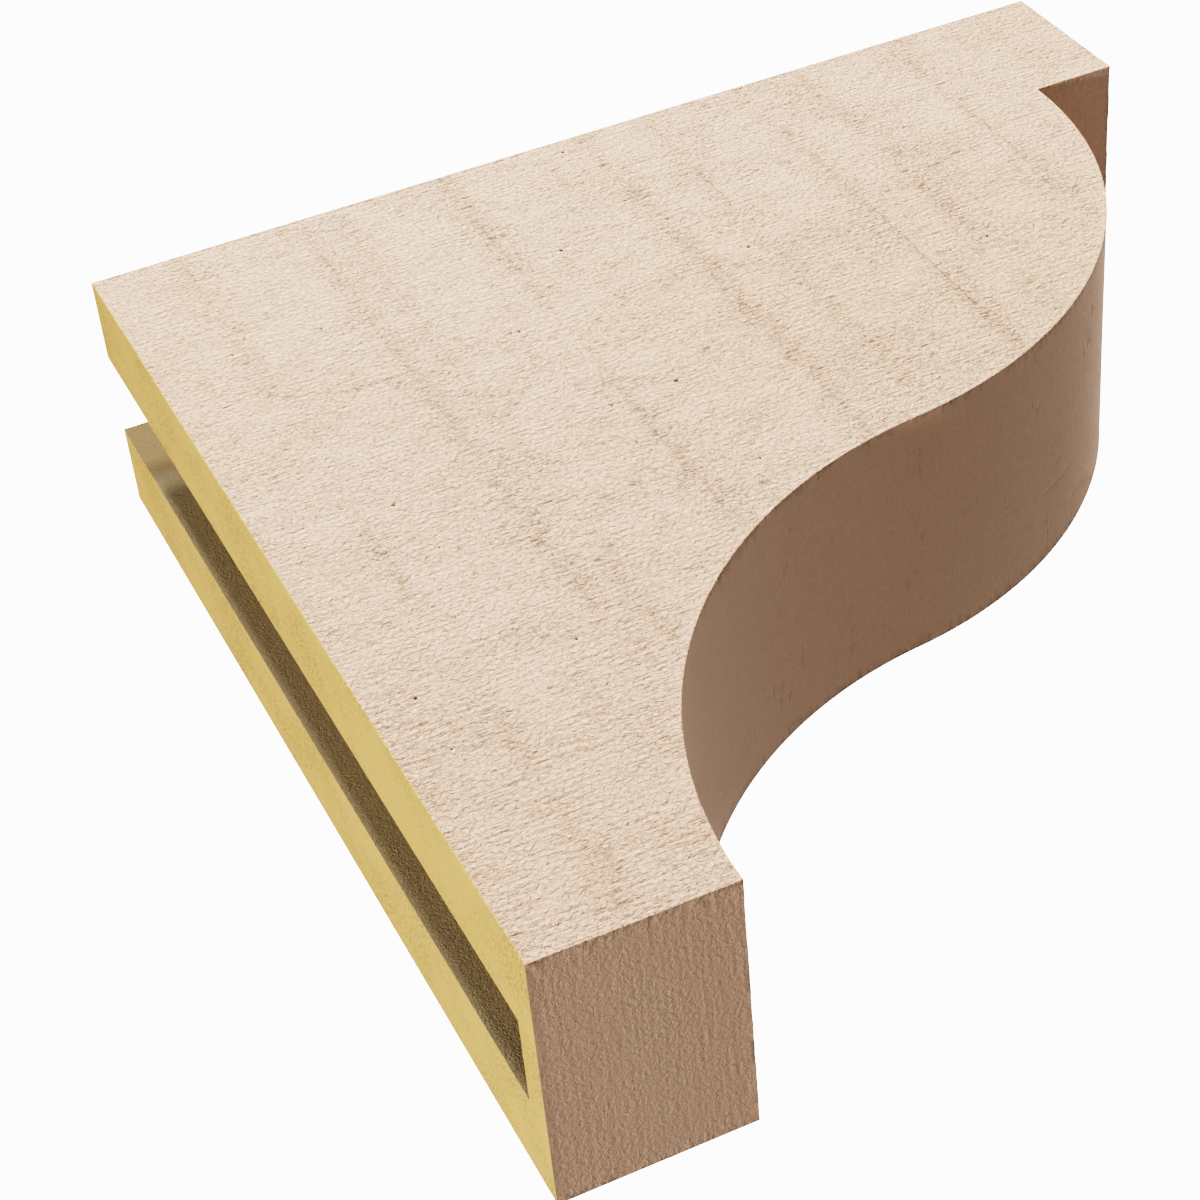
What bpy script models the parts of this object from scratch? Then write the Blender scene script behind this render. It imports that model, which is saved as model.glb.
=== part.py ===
"""A stepped ogee corbel, moulded in one piece, with a mounting channel down its back.

Metres, +Z up, as the corbel hangs. Its back is the plane Y = 0, it projects towards -Y, and it is
symmetric about X = 0. The origin is on the back, on the solid wall that closes the channel below.
"""

import math

import bmesh
import bpy
from mathutils import Matrix, Vector

INCH = 0.0254

# Driving dimensions
HEIGHT = 24 * INCH
PROJECTION = 24 * INCH
WIDTH = 6 * INCH
SHELF_HEIGHT = 4 * INCH  # the square block under the load
SHELF_LIP = 2 * INCH  # how far that block stands out over the ogee
FOOT_DEPTH = 4 * INCH  # from the wall to the foot of the ogee
SIDE_WALL = 2 * INCH  # each side of the channel
BOTTOM_WALL = 0.75 * INCH  # below the channel, and in front of it at the foot
ARC_STEPS = 28  # chords in each of the two arcs, three degrees each

# Worked out from them
CHANNEL_WIDTH = WIDTH - 2 * SIDE_WALL
CHANNEL_DEPTH = FOOT_DEPTH - BOTTOM_WALL
BOTTOM_Z = -BOTTOM_WALL / 2  # the origin is at the middle of the bottom wall's height
TOP_Z = BOTTOM_Z + HEIGHT
OVERRUN = 1 * INCH  # how far the channel's cutter runs past the back and the top


def clear_scene():
    for old in list(bpy.data.objects):
        bpy.data.objects.remove(old, do_unlink=True)


def new_collection(name):
    made = bpy.data.collections.new(name)
    bpy.context.scene.collection.children.link(made)
    return made


def plain_material(name, colour, roughness):
    """A Principled BSDF with one linear colour."""
    material = bpy.data.materials.new(name)
    material.use_nodes = True
    shader = material.node_tree.nodes["Principled BSDF"]
    shader.inputs["Base Color"].default_value = (*colour, 1.0)
    shader.inputs["Roughness"].default_value = roughness
    shader.inputs["Metallic"].default_value = 0.0
    material.diffuse_color = (*colour, 1.0)
    return material


def ogee_points():
    """(depth, height) points from the ogee's foot up to the lip: a hollow arc, then a round one.

    Both arcs are upright at their outer ends and have one radius, so that radius follows from how
    far the ogee rises and runs.
    """
    rise = HEIGHT - SHELF_HEIGHT
    run = PROJECTION - SHELF_LIP - FOOT_DEPTH
    sweep = 2 * math.atan2(run, rise)
    radius = rise / 2 / math.sin(sweep)
    points = []
    for step in range(ARC_STEPS + 1):
        angle = sweep * step / ARC_STEPS
        points.append((FOOT_DEPTH + radius * (1 - math.cos(angle)), radius * math.sin(angle)))
    for step in range(ARC_STEPS - 1, -1, -1):
        angle = sweep * step / ARC_STEPS
        lip_depth = PROJECTION - SHELF_LIP
        points.append((lip_depth - radius * (1 - math.cos(angle)), rise - radius * math.sin(angle)))
    return points


def profile_points():
    """The closed side outline, as (depth from the wall, height above the underside)."""
    return [
        (0.0, 0.0),
        *ogee_points(),
        (PROJECTION, HEIGHT - SHELF_HEIGHT),
        (PROJECTION, HEIGHT),
        (0.0, HEIGHT),
    ]


def outline_curve(name, points, thickness):
    """A filled flat outline, extruded to a thickness about its own plane."""
    curve = bpy.data.curves.new(name, "CURVE")
    curve.dimensions = "2D"
    curve.fill_mode = "BOTH"
    curve.extrude = thickness / 2
    spline = curve.splines.new("POLY")
    spline.points.add(len(points) - 1)
    for point, (x, y) in zip(spline.points, points):
        point.co = (x, y, 0.0, 1.0)
    spline.use_cyclic_u = True
    return bpy.data.objects.new(name, curve)


def curve_to_mesh(curve_object, name, collection):
    """A closed mesh object in the curve object's place, with the curve's loose caps welded on."""
    bpy.context.view_layer.update()
    evaluated = curve_object.evaluated_get(bpy.context.evaluated_depsgraph_get())
    mesh = bpy.data.meshes.new_from_object(evaluated)
    welded = bmesh.new()
    welded.from_mesh(mesh)
    bmesh.ops.remove_doubles(welded, verts=welded.verts, dist=0.00001)
    bmesh.ops.recalc_face_normals(welded, faces=welded.faces)
    welded.to_mesh(mesh)
    welded.free()
    mesh.name = name
    solid = bpy.data.objects.new(name, mesh)
    solid.matrix_world = curve_object.matrix_world
    collection.objects.link(solid)
    bpy.data.objects.remove(curve_object, do_unlink=True)
    return solid


def channel_cutter(collection, foam):
    """The box that leaves the mounting channel, open at the back and at the top."""
    low = Vector((-CHANNEL_WIDTH / 2, -CHANNEL_DEPTH, BOTTOM_Z + BOTTOM_WALL))
    high = Vector((CHANNEL_WIDTH / 2, OVERRUN, TOP_Z + OVERRUN))
    size = high - low
    mesh = bpy.data.meshes.new("channel_cutter")
    box = bmesh.new()
    bmesh.ops.create_cube(
        box, size=1.0, matrix=Matrix.Translation((low + high) / 2) @ Matrix.Diagonal((*size, 1.0))
    )
    box.to_mesh(mesh)
    box.free()
    mesh.materials.append(foam)
    cutter = bpy.data.objects.new("channel_cutter", mesh)
    cutter.hide_render = True
    cutter.display_type = "WIRE"
    collection.objects.link(cutter)
    return cutter


def corbel(parts, cutters, primer, foam):
    """The one moulding. Its back and its channel show the bare foam, and the rest is primed."""
    flat = outline_curve("corbel_outline", profile_points(), WIDTH)
    parts.objects.link(flat)
    # the outline's depth runs towards -Y and its height towards +Z
    flat.rotation_euler = (math.radians(90), 0.0, math.radians(-90))
    flat.location = (0.0, 0.0, BOTTOM_Z)
    solid = curve_to_mesh(flat, "corbel", parts)

    solid.data.materials.clear()
    solid.data.materials.append(primer)
    solid.data.materials.append(foam)
    turn = solid.matrix_world.to_3x3()
    for face in solid.data.polygons:
        faces_wall = (turn @ face.normal).y > 0.99
        face.material_index = 1 if faces_wall else 0

    cut = solid.modifiers.new("channel", "BOOLEAN")
    cut.operation = "DIFFERENCE"
    cut.solver = "EXACT"
    cut.material_mode = "TRANSFER"
    cut.object = channel_cutter(cutters, foam)

    solid.data.shade_smooth()
    solid.data.set_sharp_from_angle(angle=math.radians(20))
    return solid


def main():
    clear_scene()
    parts = new_collection("ogee_corbel")
    cutters = new_collection("cutters")
    cutters.hide_render = True
    primer = plain_material("tan_primer", (0.74, 0.59, 0.45), 0.7)
    foam = plain_material("bare_polyurethane", (0.70, 0.52, 0.19), 0.8)
    corbel(parts, cutters, primer, foam)


main()
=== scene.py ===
"""The looks of a large ogee corbel, moulded in rigid polyurethane foam as rough-sawn timber.

Its flat sides and its narrow faces are primed tan over a saw-marked skin. Its back, and the channel
down the back, are bare yellow foam. Metres and +Z up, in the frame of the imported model.
"""

import math
import random

import bmesh
import bpy
from mathutils import Matrix, Vector, noise
from mathutils.geometry import delaunay_2d_cdt


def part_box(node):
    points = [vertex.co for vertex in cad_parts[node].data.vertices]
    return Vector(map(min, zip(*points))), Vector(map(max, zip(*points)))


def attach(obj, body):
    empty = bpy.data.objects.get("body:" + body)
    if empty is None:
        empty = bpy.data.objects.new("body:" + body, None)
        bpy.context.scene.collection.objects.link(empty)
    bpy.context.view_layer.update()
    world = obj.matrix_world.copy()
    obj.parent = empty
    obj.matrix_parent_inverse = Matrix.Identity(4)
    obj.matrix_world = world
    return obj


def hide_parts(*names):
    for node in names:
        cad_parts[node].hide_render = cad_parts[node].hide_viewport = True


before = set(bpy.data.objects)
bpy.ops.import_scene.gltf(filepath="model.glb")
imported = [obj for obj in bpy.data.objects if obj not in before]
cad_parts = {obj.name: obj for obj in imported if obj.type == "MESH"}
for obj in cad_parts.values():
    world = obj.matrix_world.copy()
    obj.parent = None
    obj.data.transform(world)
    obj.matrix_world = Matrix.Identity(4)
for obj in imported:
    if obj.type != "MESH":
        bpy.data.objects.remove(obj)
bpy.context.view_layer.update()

MM = 0.001
INCH = 0.0254

# The moulding's own sizes, and those of the profile that its model was cut to
low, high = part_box("corbel")
WIDTH = high.x - low.x
PROJECTION = high.y - low.y
HEIGHT = high.z - low.z
BACK_Y = high.y
BOTTOM_Z = low.z
SHELF_HEIGHT = 4 * INCH
SHELF_LIP = 2 * INCH
FOOT_DEPTH = 4 * INCH
SIDE_WALL = 2 * INCH
BOTTOM_WALL = 0.75 * INCH
CHANNEL_HALF_WIDTH = WIDTH / 2 - SIDE_WALL
CHANNEL_DEPTH = FOOT_DEPTH - BOTTOM_WALL

# Small roundings that the mould leaves, on the two side outlines and on the profile's own corners
ARRIS = 0.6 * MM
CORNER = 0.9 * MM
CORNER_STEPS = 4

# How finely the skin is meshed. Saw lines run one way, so it is finer across them than along them.
KERF_PITCH = 0.15 * INCH
SIDE_ROW = KERF_PITCH / 3
SIDE_COLUMN = 7.2 * MM
STATION = 2.2 * MM
WALL_CELLS = 7
CHANNEL_CELLS = 7

# Points of the skin that are nearer than the first are one point, and those of a flat panel that are
# nearer than the second
WELD = 0.005 * MM
FLAT_WELD = 1e-7

# How far each stretch of skin is moved along in the patterns, in metres, so that no two show the same
SIDE_LAY = 3.0
PROFILE_LAY = 6.0
CHANNEL_WALL_LAY = 9.0
CHANNEL_FLOOR_LAY = 12.0
CHANNEL_SILL_LAY = 13.0

SEED = 24


def add(tree, kind, inputs=(), **settings):
    """One node with its settings. Each input takes a value, or the output that it is linked to.

    A node given as an input stands for its first output.
    """
    node = tree.nodes.new(kind)
    for name, value in settings.items():
        setattr(node, name, value)
    for name, value in inputs.items() if isinstance(inputs, dict) else enumerate(inputs):
        if isinstance(value, bpy.types.Node):
            value = value.outputs[0]
        if isinstance(value, bpy.types.NodeSocket):
            tree.links.new(value, node.inputs[name])
        else:
            node.inputs[name].default_value = value
    return node


def linear(code, alpha=1.0):
    """An sRGB hex colour as linear light, with alpha."""
    channels = [int(code[k : k + 2], 16) / 255 for k in (1, 3, 5)]
    lit = [c / 12.92 if c <= 0.04045 else ((c + 0.055) / 1.055) ** 2.4 for c in channels]
    return (*lit, alpha)


# The profile, as points of (depth from the wall, height above the underside)


def straight(start, end):
    """Evenly spaced points from start towards end, which is left to the next run."""
    start, end = Vector(start), Vector(end)
    count = max(1, round((end - start).length / STATION))
    return [start.lerp(end, k / count) for k in range(count)]


def eased_corner(corner, arriving, leaving):
    """A corner's small round, as far as the start of the next run."""
    corner, arriving, leaving = Vector(corner), Vector(arriving), Vector(leaving)
    centre = corner + (leaving - arriving) * CORNER
    angles = [math.pi / 2 * k / CORNER_STEPS for k in range(CORNER_STEPS)]
    return [centre + (arriving * math.sin(a) - leaving * math.cos(a)) * CORNER for a in angles]


def ogee():
    """The long S, a hollow arc and then a round one of the same radius, upright at both ends."""
    rise = HEIGHT - SHELF_HEIGHT
    lip_depth = PROJECTION - SHELF_LIP
    sweep = 2 * math.atan2(lip_depth - FOOT_DEPTH, rise)
    radius = rise / 2 / math.sin(sweep)
    start = CORNER / radius
    count = round(radius * (sweep - start) / STATION)
    angles = [start + (sweep - start) * k / count for k in range(count + 1)]
    hollow = [Vector((FOOT_DEPTH + radius * (1 - math.cos(a)), radius * math.sin(a))) for a in angles]
    swell = [Vector((lip_depth - radius * (1 - math.cos(a)), rise - radius * math.sin(a))) for a in angles]
    return hollow[:-1] + swell[:0:-1]


def profile_runs():
    """The whole outline, run by run, from the foot of the back and round to it again."""
    lip_depth = PROJECTION - SHELF_LIP
    lip_height = HEIGHT - SHELF_HEIGHT
    out, up, back = (1, 0), (0, 1), (-1, 0)
    return {
        "foot": straight((0, 0), (FOOT_DEPTH - CORNER, 0)),
        "toe": eased_corner((FOOT_DEPTH, 0), out, up),
        "ogee": ogee(),
        "nook": eased_corner((lip_depth, lip_height), up, out),
        "lip": straight((lip_depth + CORNER, lip_height), (PROJECTION - CORNER, lip_height)),
        "lip_corner": eased_corner((PROJECTION, lip_height), out, up),
        "nose": straight((PROJECTION, lip_height + CORNER), (PROJECTION, HEIGHT - CORNER)),
        "nose_corner": eased_corner((PROJECTION, HEIGHT), up, back),
        "top": straight((PROJECTION - CORNER, HEIGHT), (CHANNEL_DEPTH, HEIGHT)),
        "top_by_channel": straight((CHANNEL_DEPTH, HEIGHT), (0, HEIGHT)),
        "back_by_channel": straight((0, HEIGHT), (0, BOTTOM_WALL)),
        "back_below": straight((0, BOTTOM_WALL), (0, 0)),
    }


stations = []
first = {}
for run, points in profile_runs().items():
    first[run] = len(stations)
    stations.extend(points)
first["end"] = len(stations)
stations.append(stations[0])
travel = [0.0]
for here, there in zip(stations, stations[1:]):
    travel.append(travel[-1] + (there - here).length)


def inset(distance):
    """The outline moved into the solid, with its corners mitred."""
    outline = stations[:-1]
    moved = []
    for k, point in enumerate(outline):
        arriving = (point - outline[k - 1]).normalized()
        leaving = (outline[(k + 1) % len(outline)] - point).normalized()
        mitre = Vector((-arriving.y - leaving.y, arriving.x + leaving.x))
        moved.append(point + mitre * distance / (1 + arriving.dot(leaving)))
    return moved + moved[:1]


def placed(across, depth, height):
    """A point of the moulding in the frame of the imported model."""
    return (across, BACK_Y - depth, BOTTOM_Z + height)


def on_profile(across, length):
    """The point at one length along the profile, so far across the width."""
    low_index, high_index = 0, len(travel) - 1
    while high_index - low_index > 1:
        middle = (low_index + high_index) // 2
        if travel[middle] <= length:
            low_index = middle
        else:
            high_index = middle
    share = (length - travel[low_index]) / (travel[high_index] - travel[low_index])
    point = stations[low_index].lerp(stations[high_index], min(1.0, max(0.0, share)))
    return placed(across, point.x, point.y)


# The skin is laid out flat in panels, as points of (along the saw lines, across them)

# How near a mark another point may come, along the saw lines and across them
REACH_ALONG = 2.4 * MM
REACH_ACROSS = 0.85 * MM
# How far apart the places are that a mark's edges take up
FOOTPRINT_STEP = 1.2 * MM


class Panel:
    """One flat stretch of skin: its outline, the marks in it, and then the open ground between them."""

    def __init__(self, outline, seed):
        self.outline = [Vector(point) for point in outline]
        self.points = []
        self.edges = []
        self.taken = {}
        self.rng = random.Random(seed)
        count = len(self.outline)
        self.keep([(point, 0.0) for point in self.outline], [(k, (k + 1) % count) for k in range(count)])

    def cell(self, point):
        """Which cell of the register of taken places a point falls in."""
        return math.floor(point[0] / REACH_ALONG), math.floor(point[1] / REACH_ACROSS)

    def crowded(self, point):
        """Whether an outline or a mark is too near this point for another point to be set there."""
        column, row = self.cell(point)
        for near_column in (column - 1, column, column + 1):
            for near_row in (row - 1, row, row + 1):
                for other in self.taken.get((near_column, near_row), ()):
                    away = ((point[0] - other[0]) / REACH_ALONG, (point[1] - other[1]) / REACH_ACROSS)
                    if away[0] ** 2 + away[1] ** 2 < 1.0:
                        return True
        return False

    def spans(self, height):
        """The stretches of one level line that lie on the panel."""
        crossings = []
        for a, b in zip(self.outline, self.outline[1:] + self.outline[:1]):
            if (a.y <= height) != (b.y <= height):
                crossings.append(a.x + (b.x - a.x) * (height - a.y) / (b.y - a.y))
        crossings.sort()
        return list(zip(crossings[::2], crossings[1::2]))

    def inside(self, point):
        return any(start < point[0] < end for start, end in self.spans(point[1]))

    def footprint(self, points, edges):
        """Places along a mark's edges, close enough together that nothing fits between them."""
        places = []
        for a, b in edges:
            start, end = points[a][0], points[b][0]
            count = max(1, math.ceil((end - start).length / FOOTPRINT_STEP))
            places.extend(start.lerp(end, k / count) for k in range(count + 1))
        return places

    def keep(self, points, edges):
        """Adds points with their sinks, and the edges that the triangles have to keep."""
        base = len(self.points)
        self.points.extend((point.x, point.y, sink) for point, sink in points)
        self.edges.extend((a + base, b + base) for a, b in edges)
        for place in self.footprint(points, edges):
            self.taken.setdefault(self.cell(place), []).append((place.x, place.y))

    def mark(self, points, edges):
        """Keeps a mark if there is room for all of it."""
        if any(self.crowded(place) for place in self.footprint(points, edges)):
            return
        if all(self.inside(place) for place in (points[0][0], points[-1][0])):
            self.keep(points, edges)

    def cover(self, rows, column):
        """Sets the points of the open ground and returns all points, and the triangles between them."""
        # each point strays by up to a sixth of a column, so that the columns don't show
        stray = column / 6
        for number, height in enumerate(rows):
            shift = column / 2 if number % 2 else 0.0
            for start, end in self.spans(height):
                for k in range(math.floor(start / column), math.ceil(end / column) + 1):
                    along = k * column + shift + self.rng.uniform(-stray, stray)
                    if start < along < end and not self.crowded((along, height)):
                        self.points.append((along, height, 0.0))
        stretch = column / ((rows[-1] - rows[0]) / (len(rows) - 1))
        spread = [Vector((along, height * stretch)) for along, height, sink in self.points]
        found, _, triangles, origins, _, _ = delaunay_2d_cdt(spread, self.edges, [], 1, FLAT_WELD)
        points = []
        for place, origin in zip(found, origins):
            points.append(self.points[origin[0]] if origin else (place.x, place.y / stretch, 0.0))
        return points, triangles


# How far a groove's bottom and its two lips lie to the side, as shares of its width
GROOVE_LINES = (0.0, 0.4, -0.6)

# A blow hole's corners, and how far in and down its wall meets its floor, by its radius and depth
PIT_SIDES = 9
PIT_FLOOR_REACH = 0.72
PIT_FLOOR_SINK = 0.75


def groove(path, width, depth, lip):
    """A V along a path, shallow at its ends, between two slightly raised lips."""
    last = len(path) - 1
    points = [(path[0], 0.0)]
    lines = [[0], [0], [0]]
    for k in range(1, last):
        swell = math.sin(math.pi * k / last) ** 0.5
        across = (path[k + 1] - path[k - 1]).orthogonal().normalized() * width * swell
        for line, offset, sink in zip(lines, GROOVE_LINES, (depth * swell, -lip, -lip)):
            line.append(len(points))
            points.append((path[k] + across * offset, sink))
    points.append((path[last], 0.0))
    edges = []
    for line in lines:
        line.append(len(points) - 1)
        edges.extend(zip(line, line[1:]))
    return points, edges


def wander(rng, start, heading, length, step, sway):
    """A path of even steps that keeps its heading, but for a little sway."""
    count = max(2, round(length / step))
    along = Vector((math.cos(heading), math.sin(heading)))
    across = along.orthogonal()
    path = [Vector(start) + along * (length * k / count) for k in range(count + 1)]
    return [p + across * rng.gauss(0.0, sway) if 0 < k < count else p for k, p in enumerate(path)]


def pit(centre, radius, depth):
    """A blow hole: a crisp rim, a steep wall and a rounded floor."""
    centre = Vector(centre)
    points, edges = [], []
    for share, sink in ((1.0, 0.0), (PIT_FLOOR_REACH, PIT_FLOOR_SINK * depth)):
        base = len(points)
        for k in range(PIT_SIDES):
            angle = math.tau * (k + share) / PIT_SIDES
            points.append((centre + Vector((math.cos(angle), math.sin(angle))) * radius * share, sink))
            edges.append((base + k, base + (k + 1) % PIT_SIDES))
    points.append((centre, depth))
    return points, edges


class Skin:
    """All panels' points and triangles, and what each of them carries, on their way to one mesh."""

    def __init__(self):
        self.points = []
        self.carried = {"sink": [], "sawn": [], "torn": []}
        self.faces = []
        self.lay = []
        self.bare = []
        # which faces lie in the channel, where the foam's finish paints shade
        self.waxed = []

    def panel(self, flat_points, triangles, place, lay_shift, finish, **carries):
        """Adds one panel. place puts a flat point on the moulding, and what it carries is 0 to 1."""
        base = len(self.points)
        for along, height, sink in flat_points:
            self.points.append(place(along, height))
            self.carried["sink"].append(sink)
            for name in ("sawn", "torn"):
                value = carries.get(name, 0.0)
                self.carried[name].append(value(along, height) if callable(value) else value)
        for triangle in triangles:
            self.faces.append([base + k for k in triangle])
            self.lay.extend((flat_points[k][0] + lay_shift, flat_points[k][1]) for k in triangle)
            self.bare.append(finish != "primed")
            self.waxed.append(finish == "waxed")

    def mesh(self, name):
        """One closed mesh, with its seams welded and its faces pointing out."""
        made = bpy.data.meshes.new(name)
        made.from_pydata(self.points, [], self.faces)
        layer = made.uv_layers.new(name="lay")
        layer.data.foreach_set("uv", [value for pair in self.lay for value in pair])
        for key, values in self.carried.items():
            made.attributes.new(key, "FLOAT", "POINT").data.foreach_set("value", values)
        made.attributes.new("bare", "BOOLEAN", "FACE").data.foreach_set("value", self.bare)
        made.attributes.new("waxed", "BOOLEAN", "FACE").data.foreach_set("value", self.waxed)
        shell = bmesh.new()
        shell.from_mesh(made)
        bmesh.ops.remove_doubles(shell, verts=shell.verts, dist=WELD)
        bmesh.ops.recalc_face_normals(shell, faces=shell.faces)
        open_edges = sum(1 for edge in shell.edges if not edge.is_manifold)
        print("skin:", len(shell.faces), "faces,", open_edges, "open edges")
        shell.to_mesh(made)
        shell.free()
        return made


skin = Skin()


def steps(start, end, count):
    return [start + (end - start) * k / count for k in range(count + 1)]


def ring(*runs):
    """A closed outline from runs that each start where the last one ended."""
    outline = []
    for run in runs:
        outline.extend(run[:-1])
    return outline


flat_half = WIDTH / 2 - ARRIS
across_wall = steps(-flat_half, -CHANNEL_HALF_WIDTH, WALL_CELLS)
across_channel = steps(-CHANNEL_HALF_WIDTH, CHANNEL_HALF_WIDTH, CHANNEL_CELLS)
across_far_wall = steps(CHANNEL_HALF_WIDTH, flat_half, WALL_CELLS)
across_all = across_wall[:-1] + across_channel[:-1] + across_far_wall
STRIP_COLUMN = CHANNEL_HALF_WIDTH * 2 / CHANNEL_CELLS


def between(start, end):
    """The lengths of the stations from one run's start to another's."""
    return travel[first[start] : first[end] + 1]


def level(values, length):
    return [(value, length) for value in values]


def upright(across, lengths):
    return [(across, length) for length in lengths]


def rectangle(values, lengths):
    """The outline of a stretch that is square-cornered when it is laid out flat."""
    return ring(
        level(values, lengths[0]),
        upright(values[-1], lengths),
        level(values[::-1], lengths[-1]),
        upright(values[0], lengths[::-1]),
    )


def inner_width(share):
    """From one place across the width to its mirror image, each so far from the middle."""
    return -share * WIDTH, share * WIDTH


# Where the torn lines run up the sides, as (inches out from the wall, how badly torn)
TORN_LINES = (
    (2.05, 0.5), (4.9, 0.9), (5.75, 0.45), (8.4, 0.8), (12.0, 0.8), (13.55, 0.5), (16.1, 0.9), (17.6, 0.7),
    (20.2, 0.7), (22.6, 0.3),
)
# How far the tearing spreads from its line, how far a line sways, and over what length it does so
TORN_SPREAD = 8 * MM
TORN_SWAY = 5 * MM
TORN_RUN = 60 * MM
# How much of a line shows on the whole, how unevenly it does, and over what width that changes
TORN_SHOWN = 0.65
TORN_UNEVENNESS = 1.3
TORN_GAP = 38 * MM

# Rough patches on the sides, as (inches out from the wall, inches down from the top, inches in reach)
TORN_PATCHES = ((18.1, 5.4, 1.1), (13.7, 12.3, 1.2), (17.4, 1.1, 1.3), (15.2, 7.2, 1.0), (5.0, 12.5, 1.1))
PATCH_TORN = 0.5


def line_at(line, height):
    """How far out from the wall a torn line runs at one height."""
    return line * INCH + TORN_SWAY * noise.noise((line, height / TORN_RUN, 0.0))


def side_torn(depth, height):
    """How torn a side's grain is there, from 0 to 1. The lines sway, and are whole in places only."""
    torn = 0.0
    for line, strength in TORN_LINES:
        away = (depth - line_at(line, height)) / TORN_SPREAD
        change = noise.noise((depth / TORN_GAP, height / TORN_RUN, line))
        shown = min(1.0, max(0.0, TORN_SHOWN + TORN_UNEVENNESS * change))
        torn = max(torn, strength * shown * math.exp(-away * away))
    for out, down, reach in TORN_PATCHES:
        away = math.hypot(depth - out * INCH, HEIGHT - height - down * INCH) / (reach * INCH)
        torn = max(torn, PATCH_TORN * math.exp(-away * away))
    return torn


# A tear's form, and a long crack's: its points' spacing and sway, its width, and its lips' height. A tear
# also turns a little from the saw lines, in radians. Its widths are in millimetres.
TEAR_TURN = 0.13
TEAR_STEP = 2.6 * MM
TEAR_SWAY = 0.25 * MM
TEAR_WIDTHS = (0.9, 1.5)
TEAR_LIP = 0.10 * MM
CRACK_STEP = 3.0 * MM
CRACK_SWAY = 0.3 * MM
CRACK_WIDTH = 1.6 * MM
CRACK_LIP = 0.05 * MM


def tear(panel, centre, lengths, depths):
    """One short tear along the saw lines, if there is room for it. Its sizes are in millimetres."""
    rng = panel.rng
    length, depth = (rng.uniform(*sizes) * MM for sizes in (lengths, depths))
    heading = rng.gauss(0.0, TEAR_TURN)
    start = Vector(centre) - Vector((length / 2, 0.0))
    path = wander(rng, start, heading, length, TEAR_STEP, TEAR_SWAY)
    panel.mark(*groove(path, rng.uniform(*TEAR_WIDTHS) * MM, depth, TEAR_LIP))


def crack(panel, start, heading, length, depth):
    """A long hair crack, with the sway of one that follows the mould's grain."""
    path = wander(panel.rng, start, heading, length, CRACK_STEP, CRACK_SWAY)
    panel.mark(*groove(path, CRACK_WIDTH, depth, CRACK_LIP))


def small_hole(panel, centre, radii, depth):
    """One small blow hole, if there is room for it. Its sizes are in millimetres."""
    panel.mark(*pit(centre, panel.rng.uniform(*radii) * MM, depth * MM))


def scatter(panel, make, stretch, count, *sizes):
    """Sets so many marks at random over a stretch of a panel, wherever one falls inside it."""
    for _ in range(count):
        centre = tuple(panel.rng.uniform(*span) for span in stretch)
        if panel.inside(centre):
            make(panel, centre, *sizes)


# The larger blow holes of the side that shows, as (inches out, inches down, millimetres across)
BLOW_HOLES = (
    (11.33, 0.52, 2.8), (9.52, 4.42, 3.0), (13.1, 6.5, 3.0), (9.47, 10.3, 3.2), (7.42, 6.9, 2.2),
    (12.1, 4.5, 1.8), (3.8, 4.5, 2.0), (17.7, 8.9, 2.8), (7.95, 10.4, 1.8), (2.8, 11.25, 2.0),
    (0.97, 16.9, 2.4), (4.2, 16.85, 2.0), (9.7, 13.6, 1.8), (1.8, 4.45, 1.6), (6.0, 9.6, 1.8),
)
BLOW_HOLE_DEPTH = 1.1 * MM
# Its long cracks, as (inches out, inches down, degrees up from straight out, inches long)
LONG_CRACKS = (
    (20.2, 6.6, 91, 4.0), (13.6, 5.0, 90, 2.3), (16.1, 12.0, 89, 5.5), (4.9, 2.8, 92, 1.3),
    (5.72, 7.5, 88, 0.7), (4.2, 5.55, 17, 0.7), (10.1, 5.75, 25, 0.8), (16.0, 1.42, 4, 1.2),
    (12.9, 9.3, 96, 1.1), (3.2, 7.1, 1, 1.9), (20.0, 11.2, 88, 1.4), (8.3, 12.2, 90, 1.0),
)
LONG_CRACK_DEPTH = 0.6 * MM
# How many inches further out the blow holes lie on the side that doesn't show. They also lie half as far
# lower there, and the cracks a third as far.
FAR_SIDE_SLIDE = 2.3

# The tears along a torn line, as (millimetres long, millimetres deep), the first one's height, and how
# far apart they are and how far they stray from the line, all in millimetres
LINE_TEARS = ((4, 12), (0.2, 0.5))
FIRST_TEAR = (2, 6)
TEAR_SPACING = (1.8, 4.5)
TEAR_STRAY = 4.5
# They come in clumps, whose density changes so much from one tear to the next, and has to pass these odds
CLUMP_CHANGE = 0.16
CLUMP_ODDS = (0.2, 0.9)
# The tears of a rough patch, how many there are to an inch of its reach, and their spread by its reach
PATCH_TEARS = ((4, 9), (0.25, 0.5))
PATCH_COUNT = 26
PATCH_SPREAD = (0.42, 0.5)
# The tears that are scattered over a face, as (how many, millimetres long, millimetres deep)
SIDE_TEARS = (150, (5, 18), (0.12, 0.32))
LIP_TEARS = (60, (5, 15), (0.15, 0.3))
TOP_TEARS = (190, (5, 16), (0.15, 0.38))
# The small blow holes of a face, as (how many, millimetres in radius, millimetres deep)
SIDE_HOLES = (40, (0.5, 0.8), 0.7)
BACK_HOLES = (90, (0.5, 1.0), 0.6)


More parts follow.
